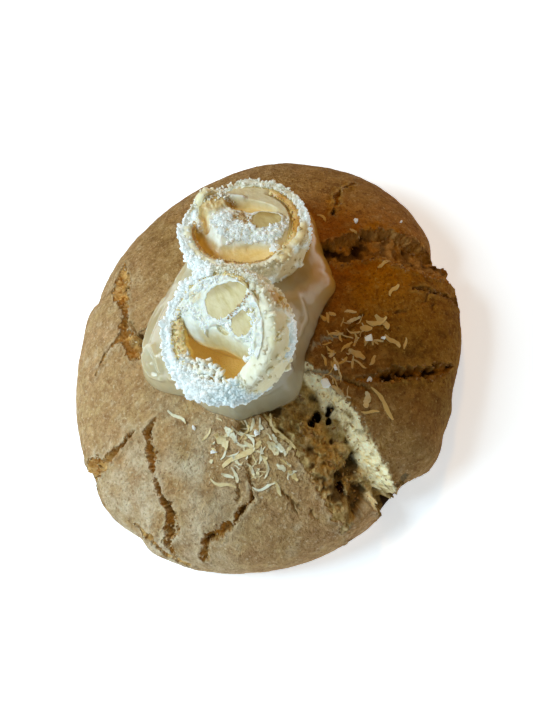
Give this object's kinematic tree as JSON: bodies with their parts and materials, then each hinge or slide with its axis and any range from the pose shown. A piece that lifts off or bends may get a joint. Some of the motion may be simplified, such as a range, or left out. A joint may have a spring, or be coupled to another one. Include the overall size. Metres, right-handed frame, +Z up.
{
  "type": "coconut cookie with cream and a cut coconut ball",
  "caption": "Round domed cookie with a cracked crust, topped with glossy cream and the two halves of a coconut-coated wafer ball.",
  "frame": {"origin": "middle of the flat base that the cookie rests on", "axes": "+Z up, -Y towards the split in the cookie's edge"},
  "size_m": [0.0983, 0.1007, 0.0555],
  "materials": {
    "cookie_crust": "baked golden brown crust, dry and finely grained, paler crumb in the cracks, pale coconut shreds on it",
    "glossy_cream": "smooth glossy pale cream",
    "coconut_coating": "snow white desiccated coconut, crumbly",
    "wafer": "thin golden wafer, smooth and slightly oily inside",
    "white_filling": "soft white milk cream with a satin surface",
    "almond": "pale cut almond with a satin surface"
  },
  "bodies": {
    "root": {"cookie": "cookie_crust", "cream": "glossy_cream", "front_coating": "coconut_coating", "rear_coating": "coconut_coating", "front_wafer": "wafer", "rear_wafer": "wafer", "front_filling": "white_filling", "rear_filling": "white_filling", "front_almond": "almond", "front_almond_piece": "almond", "rear_almond": "almond"}
  },
  "joints": []
}
